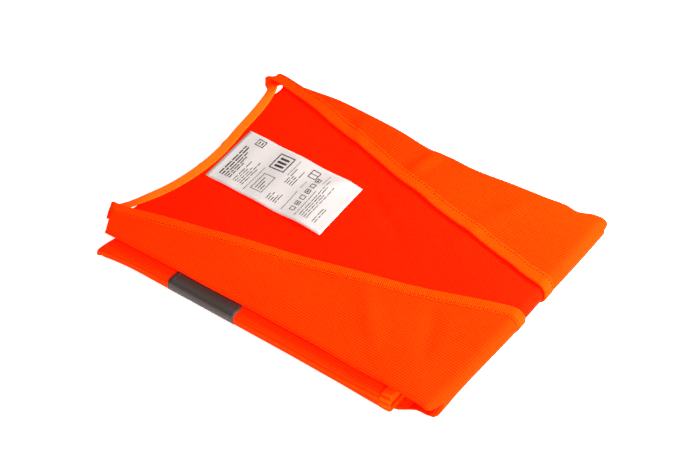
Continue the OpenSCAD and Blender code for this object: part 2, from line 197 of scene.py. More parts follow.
# %% The packet's own crookedness
def settle(p):
    """Moves points of the tidy packet to where the crooked one has them. p is an array of mm."""
    x, y, z = p[..., 0], p[..., 1], p[..., 2]
    top = smooth(z, 8.6, 10.2)
    near, far = smooth(-x, -20, 88), smooth(x, 0, 88)
    dx = near * (top * curve(y, NEAR_UPPER) + (1 - top) * curve(y, NEAR_LOWER))
    dx = dx + far * (top * curve(y, FAR_UPPER) + (1 - top) * 0.4 * curve(y, FAR_UPPER))
    # The hem third puffs at the near side, which squeezes the layers under it and pushes its roll outwards.
    puff = smooth(-x, 30, 84) * smooth(y, start_y - 2, start_y + 24) * (1 - 0.45 * smooth(y, 60, 120))
    raised = np.interp(z, [-1, 0, 4.6, 9.2, 14.5, 16], [-1, 0, 2.4, 12.0, 15.2, 16.6])
    dz = puff * (raised - z)
    # At the hem the roll opens further, because nothing holds its end down.
    open_end = smooth(-x, 60, 90) * smooth(-y, 60, 98)
    dz = dz + open_end * (np.interp(z, [0, 3, 4.6, 9.2, 14.5], [0, -0.4, -2.2, 2.2, 1.5]))
    # The far side and the ends of the neck stand a little proud.
    dz = dz + 2.2 * smooth(z, 9, 14) * smooth(x, 66, 88) * smooth(y, -10, 40) * (1 - smooth(y, 70, 118))
    hem_layer = smooth(z, 4.3, 5.4) * (1 - smooth(z, 8.6, 9.6))
    dx = dx - puff * (3.6 * hem_layer - 1.6 * (1 - smooth(z, 3.6, 4.6))) * smooth(-x, 60, 92)
    dy = smooth(-x, 70, 94) * (1 - top) * 4.0 * smooth(y, turn_y - 12, turn_y)
    dy = dy + curve(x, FOLD_SHORT) * smooth(-y, 70, 128) - 9.0 * smooth(x, 30, 84) * smooth(y, 40, neck_y)
    # Low waves of the upper layers, strongest on top.
    lift = smooth(z, 2, 14)
    waves = (
        0.45 * np.sin(0.047 * y + 0.031 * x + 0.6) + 0.3 * np.sin(0.083 * x - 0.052 * y + 2.1)
        + 0.18 * np.sin(0.12 * y + 0.07 * x)
    )
    dz = dz + lift * waves + smooth(z, 8, 14) * creased(x, y)
    # The near neck corner hangs lower than the rest of the neck.
    corner = smooth(y, 92, 124) * np.exp(-((x + 72) / 17) ** 2) * np.interp(z, [9.3, 12.8], [0, 1])
    dz = dz - 1.6 * corner
    # The middle of the upper third sinks a little between its side folds.
    dz = dz - lift * 0.9 * (1 - smooth(np.abs(x - 12), 30, 86)) * smooth(y, start_y - 10, start_y + 60)
    # The main fold's near corner gapes: its rolled side is drawn in between the lips of the two thirds.
    mouth = smooth(-x, 66, 90) * smooth(-y, 103, 119)
    dx = dx + 13.0 * mouth * np.exp(-((z - 7.2) / 3.0) ** 2) + 7.0 * mouth * (1 - smooth(z, 2, 5))
    dz = dz + mouth * 1.2 * smooth(z, 10, 14)
    return np.stack([x + dx, y + dy, np.maximum(z + dz, z * 0.4)], -1)


print("a corner moves to", settle(np.array([side_x["upper"], neck_y, stack_z])).round(1))

# %% [markdown]
# A panel's point has three garment coordinates: x across, its depth in the stack, and v along the cloth.
# v is 0 where the main fold begins, positive on the upper third, and negative round the fold and on down
# the middle third. The same idea with its own centre and radius folds the hem third.

# %% Fold formulas
def main_path(v, depth):
    """Height and place along the packet of cloth at v, for the upper third, main fold and middle third."""
    a = np.clip(-v / main_r, 0, math.pi)
    run = np.maximum(v, 0) + np.maximum(-v - math.pi * main_r, 0)
    return start_y - (main_r - depth) * np.sin(a) + run, main_z + (main_r - depth) * np.cos(a)


def hem_path(w, depth):
    """The same for the hem fold and the hem third. w is 0 where the hem third begins."""
    a = np.clip(-w / turn_r, 0, math.pi)
    return turn_y + (turn_r - depth) * np.sin(a) - np.maximum(w, 0), turn_z + (turn_r - depth) * np.cos(a)


MAIN_END = -math.pi * main_r - middle_len
HEM_START = -math.pi * turn_r
HEM_END = turn_y - hem_y
print("cloth from hem fold to main fold's start", round(-MAIN_END), "mm, hem third", round(HEM_END), "mm")

# %% [markdown]
# Two helpers turn a grid of garment coordinates into a mesh. The flat coordinates are kept as a UV layer,
# so that a pattern in a material can follow the cloth round its folds.

# %% From a grid to cloth
def folded(path, x, v, depth):
    y, z = path(v, depth)
    return settle(np.stack(np.broadcast_arrays(x, y, z), -1))


def mesh_from_grid(name, points, flat, closed=False):
    """A quad mesh from a grid of points in mm, with the cloth's flat coordinates (in metres) as its UV."""
    rows, cols = points.shape[:2]
    index = np.arange(rows * cols).reshape(rows, cols)
    if closed:
        index = np.concatenate([index, index[:, :1]], 1)
    a, b, c, d = index[:-1, :-1], index[:-1, 1:], index[1:, 1:], index[1:, :-1]
    faces = np.stack([a, b, c, d], -1).reshape(-1, 4)
    mesh = bpy.data.meshes.new(name)
    mesh.from_pydata((points.reshape(-1, 3) * MM).tolist(), [], faces.tolist())
    uv = mesh.uv_layers.new(name="flat")
    corners = np.empty(len(mesh.loops), np.int32)
    mesh.loops.foreach_get("vertex_index", corners)
    uv.data.foreach_set("uv", (flat.reshape(-1, 2)[corners] * MM).astype(np.float32).ravel())
    mesh.shade_smooth()
    mesh.update()
    obj = bpy.data.objects.new(name, mesh)
    bpy.context.scene.collection.objects.link(obj)
    return obj


def thicken(obj, thickness):
    """Gives a single-layer cloth its thickness and keeps the result as the mesh."""
    solid = obj.modifiers.new("thickness", "SOLIDIFY")
    solid.thickness, solid.offset = thickness * MM, 0
    depsgraph = bpy.context.evaluated_depsgraph_get()
    mesh = bpy.data.meshes.new_from_object(obj.evaluated_get(depsgraph), preserve_all_data_layers=True,
                                           depsgraph=depsgraph)
    obj.modifiers.clear()
    obj.data = mesh
    return obj


print("a point on the main fold", folded(main_path, 0.0, -main_r * math.pi / 2, 0.0).round(1))

# %% [markdown]
# The front edges run from the main fold to the neck points along slight curves, and straight on below.
# The neckline is one arc. These are the garment's outlines, and the bindings follow them too.

# %% Outlines of the neck opening
fold_edge = {RIGHT: 3.0, LEFT: 24.0}
BIND = 9.0  # width of the binding over the cloth's edge
neck_point = {RIGHT: low("right_front_binding_upper", "x") + BIND,
              LEFT: high("left_front_binding_upper", "x") - BIND}
EDGE_BOW = {RIGHT: -2.5, LEFT: 2.0}


def front_edge_x(side, v):
    """Where a front's free edge is, at v."""
    t = np.clip(v / (neck_y - start_y), 0, 1)
    return fold_edge[side] + (neck_point[side] - fold_edge[side]) * t + EDGE_BOW[side] * 4 * t * (1 - t)


neck_half = (neck_point[LEFT] - neck_point[RIGHT]) / 2
neck_mid = (neck_point[LEFT] + neck_point[RIGHT]) / 2
NECK_DEPTH = 22
neck_arc_r = (neck_half**2 + NECK_DEPTH**2) / (2 * NECK_DEPTH)
neck_arc_y = neck_y - NECK_DEPTH + neck_arc_r
print("neck points", {k: round(v, 1) for k, v in neck_point.items()}, "arc", round(neck_arc_r, 1))


def neckline_y(x):
    reach = np.clip(neck_arc_r**2 - (x - neck_mid) ** 2, 0, None)
    return neck_arc_y - np.sqrt(reach)

# %% [markdown]
# A side panel is a sheet that rolls round its side fold and comes back as a flap. Its cross section is the
# same three stretches on every third: the sheet, half a turn and the flap. Tape, hem binding and cloth all
# use this one section, the outer ones simply grown outwards by their own thickness.

# %% The section across a folded panel
SHEET_STEPS, ROLL_STEPS, FLAP_STEPS = 30, 9, 22


def section(side, edge, turn, flap, outer, inner, grow=0.0):
    """Across, depth, flat width and share of each stretch, for rows of edge, turn and flap places."""
    edge, turn, flap, outer, inner = [np.atleast_1d(np.asarray(a, float))[:, None]
                                      for a in np.broadcast_arrays(edge, turn, flap, outer, inner)]
    s = np.linspace(0, 1, SHEET_STEPS)[None, :]
    phi = np.linspace(0, math.pi, ROLL_STEPS + 2)[None, 1:-1]
    f = np.linspace(0, 1, FLAP_STEPS)[None, :]
    r = (inner - outer) / 2
    x = np.concatenate([edge + (turn - edge) * s, turn + side * (r + grow) * np.sin(phi),
                        turn + (flap - turn) * f], 1)
    depth = np.concatenate([outer - grow + 0 * s, (outer + inner) / 2 - (r + grow) * np.cos(phi),
                            inner + grow + 0 * f], 1)
    reach = np.abs(turn - middle_x)
    u = np.concatenate([np.abs(edge + (turn - edge) * s - middle_x), reach + r * phi,
                        reach + math.pi * r + np.abs(flap - turn) * f], 1) * side
    shares = (np.concatenate([s, 1 + phi / math.pi, 2 + f], 1))[0]
    return x, depth, u, shares


def third_depths(side, layer):
    """Depths of a panel's sheet and flap, on the upper third and on the two lower ones."""
    def pair(third):
        flap = abs(flap_z[third, side] - front_z[third])
        if layer == "front":
            return np.array([0.0, flap])
        return np.array([abs(back_z[third] - front_z[third]), flap - FLAP_PITCH])
    return pair("upper"), pair("middle")


def turn_place(side, third):
    outer = side_x["upper" if third == "upper" else "lower"]
    return side * (outer - CLOTH / 2 - abs(flap_z[third, side] - front_z[third]) / 2)


FLAP_CLEAR = 12  # from a flap's end to the other side fold
flap_end = side_x["lower"] - FLAP_CLEAR
SHOULDER_FLAP = 106
ARMHOLE_DEPTH = 14
SHOULDER_SLOPE = math.tan(math.radians(18))


def armhole_x(side, t):
    """Where a flap ends at the armhole, at a share t of the way from main fold to shoulder."""
    bend = t * t * (3 - 2 * t)
    shoulder = side_x["upper"] - SHOULDER_FLAP
    return side * (ARMHOLE_DEPTH * 4 * t * (1 - t) - flap_end + (shoulder + flap_end) * bend)


print("flaps end", round(flap_end, 1), "mm from the middle, beyond it")

# %% [markdown]
# Now the panels. The rows of the grid run from the hem fold, down the middle third, round the main fold
# and up to the shoulder. On the upper third the last row follows the shoulder's slope, or the neckline on
# the back, so the outline comes from the grid itself and needs no cutting.

# %% Rows of the upper and middle thirds
v_middle = np.linspace(MAIN_END, -math.pi * main_r, 66)
v_round = np.linspace(-math.pi * main_r, 0, 17)[1:]
t_upper = np.linspace(0, 1, 80)[1:]
rows_main = np.concatenate([v_middle, v_round, t_upper * (neck_y - start_y)])
lower_share = np.clip(-rows_main / (math.pi * main_r), 0, 1)
MIDDLE_CLOTH = 1.0  # how far the cloth stops short of the edge that the binding covers


def main_rows(side, layer, edge):
    upper, lower = third_depths(side, layer)
    outer, inner = [upper[i] + (lower[i] - upper[i]) * lower_share for i in (0, 1)]
    turn = turn_place(side, "upper") + (turn_place(side, "middle") - turn_place(side, "upper")) * lower_share
    t = np.clip(rows_main / (neck_y - start_y), 0, 1)
    flap = np.where(rows_main > 0, armhole_x(side, t), -side * flap_end)
    return section(side, edge, turn, flap, outer, inner)


# How far the shoulder falls from the neck point to the side fold. The far one is short, so it falls less.
SHOULDER_DROP = {RIGHT: neck_y - shoulder_y, LEFT: 5.0}
FLAP_SHORT = {RIGHT: 0.0, LEFT: 10.0}  # how far the far flaps stop short of their side fold's end
# How far the back stands away from the binding at the neck points, and over what width.
NECK_GAP = {RIGHT: 9.0, LEFT: 11.0}
NECK_GAP_REACH = 15.0


def upper_rows(side, v, shares, top_of_sheet):
    """Stretches the rows of the upper third so that the last one lies on the shoulder or the neckline."""
    fall = np.clip(shares - 2, 0, 1) * SHOULDER_FLAP * SHOULDER_SLOPE
    fall = fall + FLAP_SHORT[side] * smooth(shares, 1.7, 2.06)
    top = np.where(shares <= 1, top_of_sheet, neck_y - SHOULDER_DROP[side] - fall) - start_y
    return np.where(v > 0, v / (neck_y - start_y) * top, v)


print("rows", len(rows_main))

# %% [markdown]
# At the shoulder the front's cloth rolls over to meet the back. The line where it does so falls away from
# the neck points, because the shoulders slope. The same path, with a looser roll, carries the binding.

# %% Over the shoulder
neck_v = neck_y - start_y
neck_r = abs(front_z["upper"] - back_z["upper"]) / 2


def shoulder_line(x):
    """The v at which the cloth folds over the shoulder: level inside the neck points, falling outside."""
    falls = [SHOULDER_DROP[side] * np.clip(side * (x - neck_point[side])
                                           / abs(turn_place(side, "upper") - neck_point[side]), 0, 1)
             for side in (RIGHT, LEFT)]
    return neck_v - falls[0] - falls[1]


def shoulder_path(line, r=neck_r):
    """The main path with one more fold: past line, the cloth rolls over and comes back underneath.

    A roll that is looser than the cloth's own climbs back to the back's height after it."""
    def path(v, depth):
        y, z = main_path(np.minimum(v, line), depth)
        a = np.clip((v - line) / r, 0, math.pi)
        past = np.maximum(v - line - math.pi * r, 0)
        rolled_y = start_y + line + (r - depth) * np.sin(a) - past
        rolled_z = front_z["upper"] - r + (r - depth) * np.cos(a) + 2 * (r - neck_r) * smooth(past, 0, 13)
        return np.where(v > line, rolled_y, y), np.where(v > line, rolled_z, z)
    return path


print("shoulder roll", round(neck_r, 2), "mm")

# %% [markdown]
# The two fronts and the back are made now. The back is built as two halves that meet in the middle, and
# its bound edge keeps clear of the binding near the neck points.

# %% Panels of the upper and middle thirds
def front_main(side):
    """The front, whose last rows roll over the shoulder to meet the back."""
    roll = np.linspace(0, math.pi * neck_r * 0.96, 8)[1:]
    edge = front_edge_x(side, rows_main) + side * MIDDLE_CLOTH
    x, depth, u, shares = main_rows(side, "front", edge)
    v = upper_rows(side, rows_main[:, None] + 0 * x, shares[None, :],
                   neck_y - SHOULDER_DROP[side] * np.clip(shares, 0, 1)[None, :])
    line = np.where(shares <= 1, v[-1], 1e3)
    x, depth, u = (np.concatenate([a, np.repeat(a[-1:], len(roll), 0)]) for a in (x, depth, u))
    only_sheet = np.where(shares <= 1, 1.0, 0.02)
    v = np.concatenate([v, v[-1:] + roll[:, None] * only_sheet])
    return folded(shoulder_path(line[None, :]), x, v, depth), np.stack([u, v], -1)


def neck_recess(side, x):
    """The bound edge stands free of the back near the neck points, where it loops over the shoulder."""
    return NECK_GAP[side] * np.exp(-((x - neck_point[side]) / NECK_GAP_REACH) ** 2)


def neck_or_shoulder(side, x):
    slope = (x - neck_point[side]) / (turn_place(side, "upper") - neck_point[side])
    outside = side * (x - neck_point[side]) > 0
    return np.where(outside, neck_y - SHOULDER_DROP[side] * np.clip(slope, 0, 1),
                    neckline_y(x) - MIDDLE_CLOTH) - neck_recess(side, x)


def back_main():
    halves = []
    for side in (RIGHT, LEFT):
        x, depth, u, shares = main_rows(side, "back", middle_x)
        v = upper_rows(side, rows_main[:, None] + 0 * x, shares[None, :], neck_or_shoulder(side, x))
        halves.append((folded(main_path, x, v, depth), np.stack([u, v], -1)))
    (right, right_flat), (left, left_flat) = halves
    return (np.concatenate([right[:, ::-1], left[:, 1:]], 1),
            np.concatenate([right_flat[:, ::-1], left_flat[:, 1:]], 1))


def cloth_piece(name, grid, thickness=CLOTH):
    obj = thicken(mesh_from_grid(name, *grid), thickness)
    print(name, len(obj.data.vertices), "points")
    return obj


right_front = cloth_piece("right_front_cloth", front_main(RIGHT))
left_front = cloth_piece("left_front_cloth", front_main(LEFT))
back = cloth_piece("back_cloth", back_main())

# %% [markdown]
# The hem third has the same panels with the hem fold's path. It rides on the lower pack with the middle
# third, so it never has to bend.

# %% Panels of the hem third
rows_hem = np.concatenate([np.linspace(HEM_START, 0, 13)[:-1], np.linspace(0, HEM_END, 58)])
hem_flat = MAIN_END + HEM_START - rows_hem


def hem_rows(side, layer, edge, rows=rows_hem, grow=0.0, flap=None):
    _, (outer, inner) = third_depths(side, layer)
    reach = -side * flap_end if flap is None else flap
    return section(side, edge + 0 * rows, turn_place(side, "hem"), reach, outer, inner, grow)


def hem_panel(side, layer, edge):
    x, depth, u, _ = hem_rows(side, layer, edge)
    w = rows_hem[:, None] + 0 * x
    return folded(hem_path, x, w, depth), np.stack([u, hem_flat[:, None] + 0 * x], -1)


hem_edge = {side: fold_edge[side] + side * MIDDLE_CLOTH for side in (RIGHT, LEFT)}
right_hem = cloth_piece("right_front_hem_cloth", hem_panel(RIGHT, "front", hem_edge[RIGHT]))
left_hem = cloth_piece("left_front_hem_cloth", hem_panel(LEFT, "front", hem_edge[LEFT]))
back_halves = [hem_panel(side, "back", middle_x) for side in (RIGHT, LEFT)]
back_hem = cloth_piece("back_hem_cloth", [
    np.concatenate([back_halves[0][i][:, ::-1], back_halves[1][i][:, 1:]], 1) for i in (0, 1)])
print("hem third", len(rows_hem), "rows")

# %% [markdown]
# A binding is a strip folded in a U over a raw edge and stitched through. It is one profile swept along the
# edge: two flat legs, a round nose, and a slit that the cloth fills. The legs swell a little between the
# stitches, which makes the fine puckers that a bound edge has.

# %% The binding's section
LEG_IN, LEG_OUT = CLOTH / 2 + 0.02, CLOTH / 2 + TRIM
STRIP = BIND - 0.5  # width of the strip as it is drawn
STITCH_PITCH = 2.5
STITCH_INSET = 1.5  # from the binding's inner edge
PUCKER = 0.07  # how much the legs swell between stitches, as a share of their height


def binding_profile(width=BIND, outside=LEG_OUT, inside=LEG_IN, nose=1.1):
    """Points (from the free edge inwards, depth) of the U, all the way round its section."""
    angles = np.linspace(-math.pi / 2, math.pi / 2, 7)
    bow = 0.22 * outside
    top = [(width, -outside + 0.12), (width - 0.25, -outside), (width * 0.8, -outside),
           (width * 0.5, -outside - bow), (width * 0.25, -outside - bow)]
    round_nose = [(nose - nose * math.cos(a), outside * 1.25 * math.sin(a)) for a in angles]
    bottom = [(e, -h) for e, h in reversed(top)]
    slit = [(width, inside), (nose, inside), (nose, -inside), (width, -inside)]
    return np.array(top + round_nose + bottom + slit)


def swept_binding(path, x, v, depth, normal, profile, flat_v, pucker=PUCKER):
    """Sweeps a binding along an edge whose points are (x, v, depth) and whose inward normal is given."""
    e, h = profile[:, 0][None, :], profile[:, 1][None, :]
    wave = pucker * np.sin(flat_v / STITCH_PITCH * 2 * math.pi)[:, None]
    h = h * (1 + wave * (e > 1.5) * (e < STRIP))
    points = folded(path, x[:, None] + normal[:, :1] * e, v[:, None] + normal[:, 1:] * e,
                    depth[:, None] + h)
    return points, np.stack([e + 0 * points[..., 0], flat_v[:, None] + 0 * e], -1)


def edge_normals(side, x, v):
    tangent = np.stack([np.gradient(x), np.gradient(v)], -1)
    tangent /= np.linalg.norm(tangent, axis=1, keepdims=True)
    return side * np.stack([tangent[:, 1], -tangent[:, 0]], -1)


profile = binding_profile(STRIP)
print("binding's section", len(profile), "points")

# %% [markdown]
# One strip binds the right front, the neck and the left front. Its line is drawn in the cloth's own
# coordinates, its corners are rounded, and it is cut into even steps. Rounding is an average over
# neighbouring points, which needs no curve tool.

# %% The bound edge
def round_corners(line, reach):
    """Rounds the corners of a finely stepped line by averaging each point with its neighbours."""
    kernel = np.hanning(2 * reach + 3)[1:-1]
    padded = np.concatenate([np.repeat(line[:1], reach, 0), line, np.repeat(line[-1:], reach, 0)])
    rounded = np.stack([np.convolve(padded[:, k], kernel / kernel.sum(), "valid") for k in (0, 1)], -1)
    rounded[:reach], rounded[-reach:] = line[:reach], line[-reach:]
    return rounded


def stepped(line, step):
    """The same line with even steps along it."""
    along = np.concatenate([[0], np.cumsum(np.hypot(*np.diff(line, axis=0).T))])
    at = np.arange(0, along[-1], step)
    return np.stack([np.interp(at, along, line[:, k]) for k in (0, 1)], -1)


NECK_LOOP_R = 2.3  # the binding is stiffer than the cloth, so it loops over the shoulder
FINE, STEP = 0.5, 0.83  # steps for rounding the line, and for the finished binding
CORNER_REACH = 30  # fine steps on each side of a corner


def neck_and_fronts():
    """The bound edge in the cloth's own coordinates: up the right front, round the neck, down the left."""
    up = np.arange(MAIN_END, neck_v, 0.8)
    across = np.linspace(neck_point[RIGHT], neck_point[LEFT], 220)
    back_v = neck_v + math.pi * NECK_LOOP_R + neck_y - neckline_y(across)
    line = np.concatenate([
        np.stack([front_edge_x(RIGHT, up), up], -1), np.stack([across, back_v], -1),
        np.stack([front_edge_x(LEFT, up), up], -1)[::-1]])
    return stepped(round_corners(stepped(line, FINE), CORNER_REACH), STEP)


neck_line = neck_and_fronts()
tangent = np.gradient(neck_line, axis=0)
tangent /= np.linalg.norm(tangent, axis=1, keepdims=True)
inward = np.stack([-tangent[:, 1], tangent[:, 0]], -1)
neck_along = np.arange(len(neck_line)) * STEP
print("bound edge", round(neck_along[-1]), "mm")

# %% [markdown]
# Every point of the strip is placed beside that line. Round the neck it is pulled narrower than along the
# fronts. The hem third has two short strips of its own, on the same edges.

# %% Bindings along the front edges and the neck
NECK_NARROWING = 0.22
neck_share = smooth(neck_line[:, 1:], neck_v - 12, neck_v + 12)


def neck_points(inwards, lift):
    """Points beside the bound edge: inwards from it, and lift above the cloth's middle."""
    inwards = inwards * (1 - NECK_NARROWING * neck_share)
    x = neck_line[:, :1] + inward[:, :1] * inwards
    v = neck_line[:, 1:] + inward[:, 1:] * inwards
    return folded(shoulder_path(shoulder_line(x), NECK_LOOP_R), x, v, 0 * x - lift)


puckers = 1 + PUCKER * np.sin(neck_along / STITCH_PITCH * 2 * math.pi)[:, None] * (profile[:, 0] > 1.5)
neck_grid = neck_points(profile[None, :, 0], profile[None, :, 1] * puckers)
neck_flat = np.stack(np.broadcast_arrays(profile[None, :, 0], neck_along[:, None]), -1)
bindings = {
    "neck_and_front_binding": mesh_from_grid("neck_and_front_binding", neck_grid, neck_flat, closed=True),
}
for side, name in ((RIGHT, "right_front_hem_binding"), (LEFT, "left_front_hem_binding")):
    w = np.arange(HEM_START, HEM_END - 8, STEP)
    x = np.full_like(w, fold_edge[side])
    normal = np.stack([np.full_like(w, side), 0 * w], -1)
    bindings[name] = mesh_from_grid(
        name, *swept_binding(hem_path, x, w, 0 * w, normal, profile, w), closed=True)
print("bindings", {k: len(o.data.vertices) for k, o in bindings.items()})

# %% [markdown]
# The tapes lie on the fronts from the front binding round the side fold and onto the flap, and on the back
# from fold to fold. They use the cloth's own section, grown outwards so that they lie on it.

# %% Reflective tapes
TAPE = 0.25
TAPE_RETURN = 60  # how far a tape runs onto the flap
ON_CLOTH = CLOTH / 2 + TAPE / 2 + 0.03


def tape_name(side, third):
    word = "right" if side == RIGHT else "left"
    return f"{'upper' if third == 'middle' else 'lower'}_tape_{word}_front"


def tape_section(side, third, rows, grow):
    turn = turn_place(side, third)
    return section(side, fold_edge[side] + side * BIND + 0 * rows, turn, turn - side * TAPE_RETURN,
                   *third_depths(side, "front")[1], grow=grow)


def front_tape(side, third):
    name = tape_name(side, third)
    y = np.linspace(low(name, "y"), high(name, "y"), 22)
    x, depth, u, _ = tape_section(side, third, y, ON_CLOTH)
    if third == "hem":
        path, v = hem_path, turn_y - y
    else:
        path, v = main_path, -math.pi * main_r - (y - start_y)
    v = v[:, None] + 0 * x
    return cloth_piece(name + "_band", (folded(path, x, v, depth), np.stack([u, v], -1)), TAPE)


def flat_piece(part, suffix, rows, cols, thickness):
    """A piece that lies flat on its layer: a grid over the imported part's box, settled with the rest."""
    y = np.linspace(low(part, "y"), high(part, "y"), rows)[:, None]
    x = np.linspace(low(part, "x"), high(part, "x"), cols)[None, :]
    z = middle(part, "z") + 0 * x
    return cloth_piece(part + suffix, (settle(np.stack(np.broadcast_arrays(x, y, z), -1)),
                                       np.stack(np.broadcast_arrays(x, y), -1)), thickness)


tapes = {(side, third): front_tape(side, third) for side in (RIGHT, LEFT) for third in ("middle", "hem")}
for third, part in (("middle", "upper_tape_back"), ("hem", "lower_tape_back")):
    tapes["back", third] = flat_piece(part, "_band", 16, 60, TAPE)
print("tapes", len(tapes))

# %% [markdown]
# The hem's binding is the same U as before, swept across the panel instead of along it. At the near side
# it shows as an open, C-shaped nose. Its legs are thinner, because the flaps lie close together.

# %% Hem bindings
def section_with_normals(side, layer, edge):
    plain = hem_rows(side, layer, edge, np.array([HEM_END]))
    grown = hem_rows(side, layer, edge, np.array([HEM_END]), grow=1.0)
    x, depth, u = (a[0] for a in plain[:3])
    return x, depth, u, np.stack([grown[0][0] - x, grown[1][0] - depth], -1)


def hem_binding(name, side, layer, edge, legs):
    x, depth, u, out = section_with_normals(side, layer, edge)
    e, h = (a[None, :] for a in binding_profile(BIND, *legs).T)
    px = x[:, None] - out[:, :1] * h
    pd = depth[:, None] - out[:, 1:] * h
    w = HEM_END + 1 - e + 0 * px
    grid = folded(hem_path, px, w, pd), np.stack([e + 0 * px, u[:, None] + 0 * e], -1)
    return mesh_from_grid(name, *grid, closed=True)


FRONT_LEGS = (0.42, 0.19)  # outside and inside of a leg, from the cloth's middle
BACK_LEGS = (CLOTH / 2 + 0.1, CLOTH / 2 + 0.01)
for side, word in ((RIGHT, "right"), (LEFT, "left")):
    name = f"hem_binding_{word}"
    bindings[name] = hem_binding(name, side, "front", hem_edge[side], FRONT_LEGS)
for side, word in ((RIGHT, "right"), (LEFT, "left")):
    name = f"hem_binding_back_{word}"
    bindings[name] = hem_binding(name, side, "back", middle_x, BACK_LEGS)
print("hem bindings", [k for k in bindings if k.startswith("hem_binding")])

# %% [markdown]
# Small pieces on inner layers: the hook and loop patches that close the front, and the seams along the
# flaps and shoulders. A seam is a low ridge, an ellipse swept along its line.

# %% Patches and seams
PATCH = 0.35
patches = {part: flat_piece(part, "_felt", 14, 10, PATCH) for part in ("hook_patch", "loop_patch")}


def ridge(name, path, x, v, depth, wide, tall):
    """A seam's raised edge: an ellipse swept along a line of (x, v, depth)."""
    a = np.linspace(0, 2 * math.pi, 9)[None, :-1]
    px, pd = x[:, None] + wide * np.cos(a), depth[:, None] + tall * np.sin(a)
    grid = folded(path, px, v[:, None] + 0 * px, pd), np.stack([wide * a + 0 * px, v[:, None] + 0 * px], -1)
    return mesh_from_grid(name, *grid, closed=True)


def side_seam(side, third):
    word = "right" if side == RIGHT else "left"
    _, (_, flap) = third_depths(side, "front")
    if third == "middle":
        path, v = main_path, np.linspace(MAIN_END, -math.pi * main_r, 80)
    else:
        path, v = hem_path, np.linspace(0, HEM_END, 80)
    x = np.full_like(v, -side * (flap_end + 0.5))
    return ridge(f"{word}_side_seam_{third}_ridge", path, x, v,
                 np.full_like(v, flap - FLAP_PITCH / 2), 0.6, 0.5)


seams = {(side, third): side_seam(side, third) for side in (RIGHT, LEFT) for third in ("middle", "hem")}


def shoulder_seam(side):
    """Along the flaps' sloping upper edges, between the front's flap and the back's."""
    word = "right" if side == RIGHT else "left"
    upper, _ = third_depths(side, "front")
    turn = turn_place(side, "upper")
    s = np.linspace(0, 1, 40)
    x = turn - side * SHOULDER_FLAP * s * 0.97
    v = neck_y - SHOULDER_DROP[side] - FLAP_SHORT[side] - start_y + 0.2 - np.abs(x - turn) * SHOULDER_SLOPE
    return ridge(f"{word}_shoulder_seam_ridge", main_path, x, v,
                 np.full_like(x, upper[1] - FLAP_PITCH / 2), 0.5, 0.5)


shoulders = {side: shoulder_seam(side) for side in (RIGHT, LEFT)}
print("seams", len(seams) + len(shoulders))

# %% [markdown]
# The armholes are bound too, with a narrower strip. Its edge is the curve that the flap's end follows.

# %% Armhole bindings
ARM_BIND = 7.0
ARM_LEGS = (0.26, 0.18)  # outside and inside, as for the hem


def armhole_binding(side, layer):
    word = "right" if side == RIGHT else "left"
    (_, depth), _ = third_depths(side, layer)
    t = np.linspace(0, 1, 90)
    top = neck_y - SHOULDER_DROP[side] - FLAP_SHORT[side] - start_y - SHOULDER_FLAP * SHOULDER_SLOPE
    v = t * top
    x = armhole_x(side, v / (neck_y - start_y))
    grid = swept_binding(main_path, x, v, np.full_like(v, depth), edge_normals(side, x, v),
                         binding_profile(ARM_BIND, *ARM_LEGS), v)
    return mesh_from_grid(f"{word}_armhole_binding_{layer}", *grid, closed=True)


armholes = {(side, layer): armhole_binding(side, layer)
            for side in (RIGHT, LEFT) for layer in ("front", "back")}
print("armhole bindings", len(armholes))

# %% [markdown]
# The care label is a satin ribbon caught in the neck binding's seam. It is laid a little above the back
# and given waves along its length. Its print is only bars and plain shapes, thin raised ink on the satin.

# %% The care label
label_low, label_high = (np.array(c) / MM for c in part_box("care_label"))
label_w, label_l = label_high[0] - label_low[0], label_high[1] - label_low[1]


def label_point(across, down, lift=0.0):
    """A point on the label, across from its left edge and down from its sewn edge, in mm."""
    y = label_high[1] - down + 0.02 * (across - label_w / 2)
    x = label_low[0] + across - 0.045 * down + 3.0
    free = smooth(down, 2, 20)
    wave = 0.55 * np.sin(down * 0.19 + 0.4) + 0.35 * np.sin(down * 0.09 + across * 0.05 + 1.0)
    curl = 0.9 * smooth(down, 60, 92) * smooth(across, 10, 48)
    z = label_low[2] + 0.35 + lift + free * (0.75 + wave * 0.7 + curl)
    return settle(np.stack(np.broadcast_arrays(x, y, z), -1))


def label_patch(name, across, down, lift, thickness):
    a, d = across[None, :], down[:, None]
    flat = np.stack(np.broadcast_arrays(a, d), -1)
    return thicken(mesh_from_grid(name, label_point(a, d, lift), flat), thickness)


label = label_patch("care_label_satin", np.linspace(0, label_w, 25), np.linspace(-1.8, label_l, 46), 0, 0.2)
print("label", round(label_w), "x", round(label_l), "mm")

# %% [markdown]
# The print is a set of small raised patches. They are laid through the same function as the label, so they
# follow its waves, and they are joined into one piece at the end.

# %% Print helpers
def joined(name, parts):
    with bpy.context.temp_override(active_object=parts[0], selected_editable_objects=parts):
        bpy.ops.object.join()
    parts[0].name = name
    return parts[0]


def bar(across0, down0, across1, down1):
    steps = max(2, int((down1 - down0) / 2.0) + 1)
    return label_patch("bar", np.linspace(across0, across1, 2 if across1 - across0 < 3 else 6),
                       np.linspace(down0, down1, steps), 0.13, 0.05)


def frame_of_bars(across, down, width, length, line=0.5):
    right, end = across + width, down + length
    return [bar(across, down, right, down + line), bar(across, end - line, right, end),
            bar(across, down, across + line, end), bar(right - line, down, right, end)]


WORDS = [5.5, 3.2, 7.0, 4.1, 6.2, 2.6, 3.8]  # lengths of the bars that stand for words, in mm
WORD_GAP = 0.9


